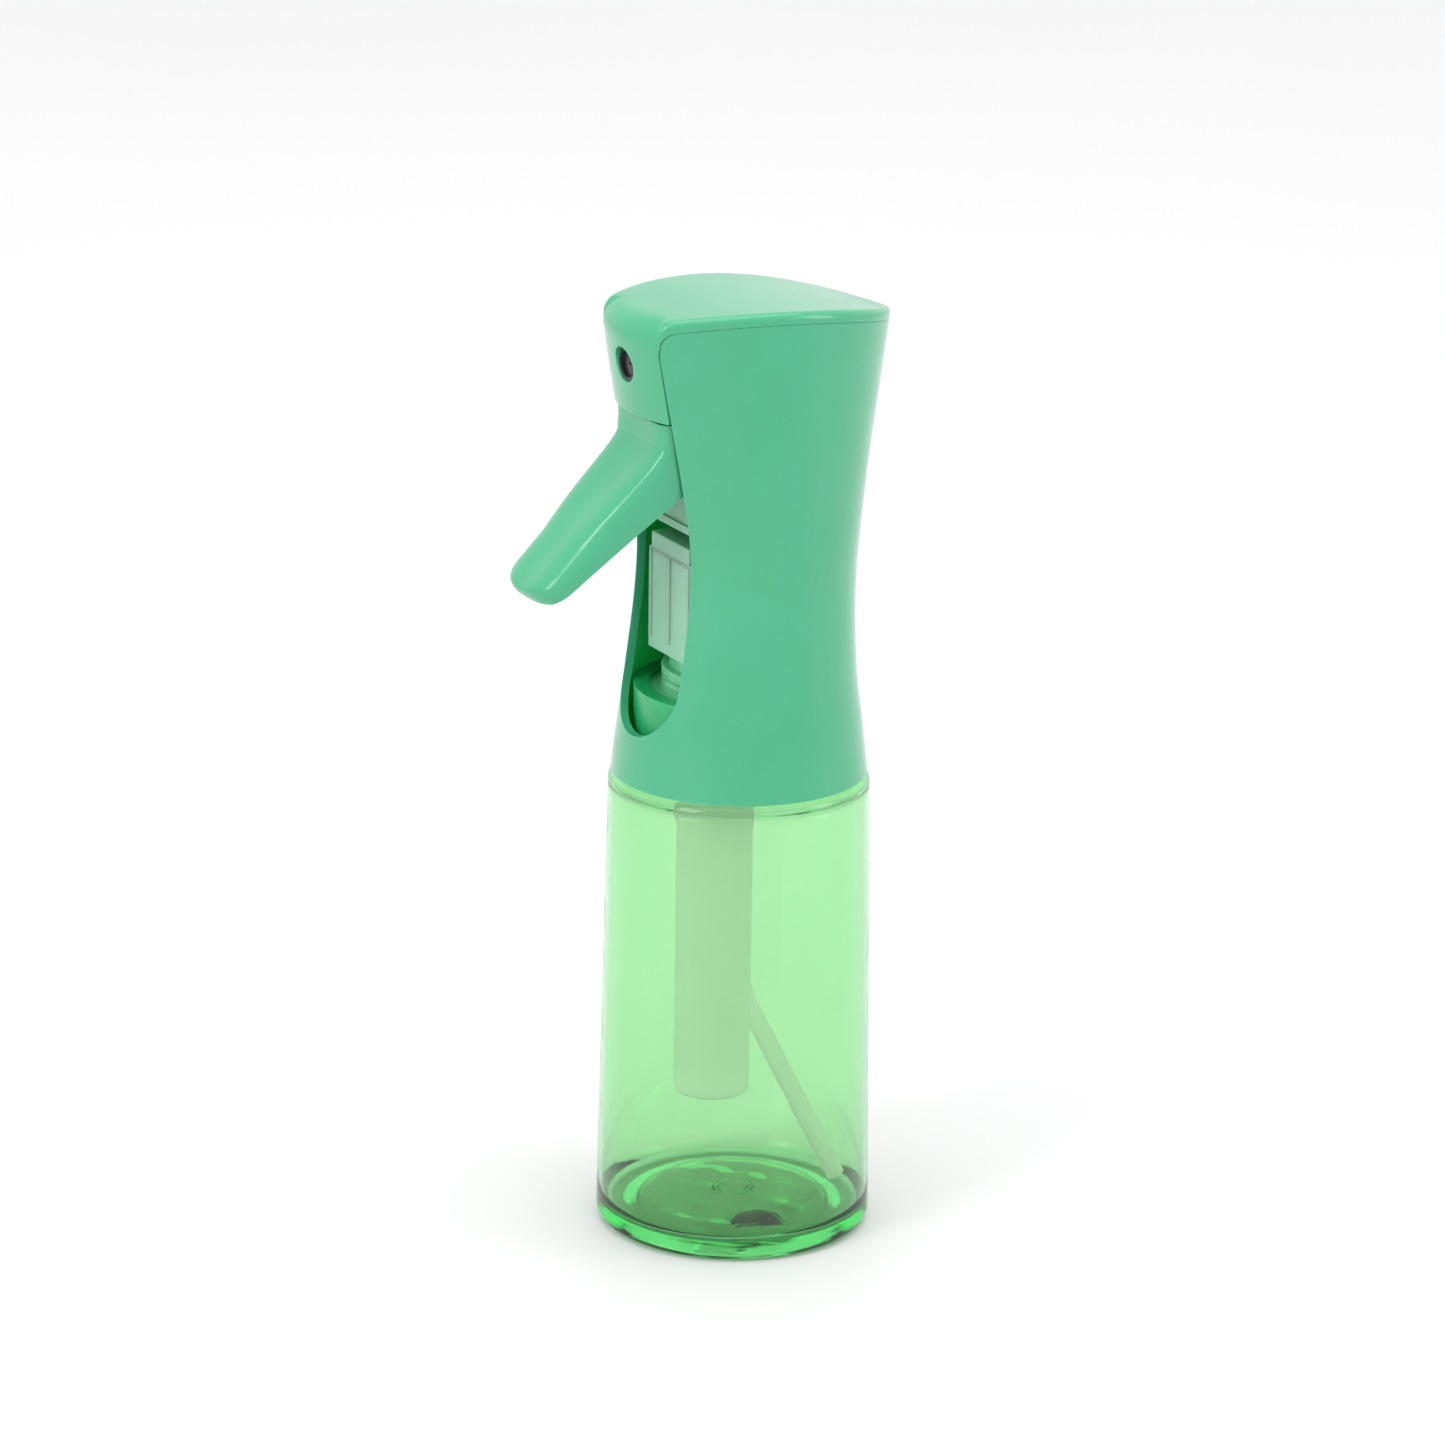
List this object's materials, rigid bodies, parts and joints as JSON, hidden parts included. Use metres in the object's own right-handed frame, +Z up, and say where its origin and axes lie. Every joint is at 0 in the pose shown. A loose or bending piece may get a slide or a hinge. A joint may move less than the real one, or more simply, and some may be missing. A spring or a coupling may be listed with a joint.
{
  "type": "hand mister",
  "caption": "Continuous fine-mist spray bottle with a waisted screw-on head, a finger trigger, a piston pump and a spring accumulator hanging inside a clear bottle.",
  "frame": {"origin": "centre of the bottle's standing ring, on the surface it stands on", "axes": "+Z up along the bottle's axis, -Y the way it sprays, +X to the side"},
  "size_m": [0.053, 0.0784, 0.1844],
  "materials": {
    "bottle_clear": "clear tinted PET",
    "casing": "glossy moulded ABS",
    "natural": "natural translucent polypropylene",
    "piston_white": "white polyethylene",
    "nozzle_black": "black acetal",
    "seal": "nitrile rubber",
    "gasket": "soft white polyethylene foam",
    "steel": "bright stainless wire"
  },
  "bodies": {
    "bottle": {"bottle": "bottle_clear"},
    "gasket": {"neck_gasket": "gasket"},
    "head": {"closure_ring": "casing", "shroud": "casing", "front_cover": "casing", "valve_tower": "natural", "pump_cylinder": "natural", "link_tube": "natural", "delivery_tube": "natural", "nozzle_holder": "natural", "nozzle_seal": "seal", "swirl_core": "natural", "nozzle_insert": "nozzle_black", "trigger_pin": "steel", "inlet_seat": "natural", "accumulator_tube": "natural", "accumulator_cap": "natural", "dip_tube": "natural", "vent_valve": "seal", "return_spring": "steel", "accumulator_spring": "steel"},
    "trigger": {"trigger": "casing"},
    "piston": {"piston": "piston_white", "piston_seal": "seal"},
    "inlet_ball": {"inlet_ball": "steel"},
    "outlet_ball": {"outlet_ball": "steel"},
    "accumulator_piston": {"accumulator_piston": "piston_white", "accumulator_seal": "seal"}
  },
  "joints": [
    {"name": "head_lift", "type": "slide", "parent": "bottle", "child": "gasket", "axis": [0, 0, 1], "range_m": [0, 0.006]},
    {"name": "head_turn", "type": "hinge", "parent": "gasket", "child": "head", "pos_m": [0, 0, 0.1], "axis": [0, 0, 1], "range_deg": [0, 540]},
    {"name": "trigger_pull", "type": "hinge", "parent": "head", "child": "trigger", "pos_m": [0, -0.013, 0.1671], "axis": [1, 0, 0], "range_deg": [0, 20], "stiffness_Nm_per_rad": 0.8, "springref_deg": -20.05},
    {"name": "piston_slide", "type": "slide", "parent": "head", "child": "piston", "axis": [0, 1, 0], "range_m": [0, 0.0039], "deforming": ["return_spring"]},
    {"name": "inlet_ball_lift", "type": "slide", "parent": "head", "child": "inlet_ball", "axis": [0, 0, 1], "range_m": [0, 0.0012]},
    {"name": "outlet_ball_lift", "type": "slide", "parent": "head", "child": "outlet_ball", "axis": [0, 0, 1], "range_m": [0, 0.0012]},
    {"name": "accumulator_slide", "type": "slide", "parent": "head", "child": "accumulator_piston", "axis": [0, 0, -1], "range_m": [0, 0.038], "stiffness_N_per_m": 600, "springref_m": -0.02, "deforming": ["accumulator_spring"]}
  ],
  "couplings": [
    {"joint": "head_lift", "follows": "head_turn", "m_per_rad": 0.000636},
    {"joint": "piston_slide", "follows": "trigger_pull", "m_per_rad": 0.011}
  ]
}
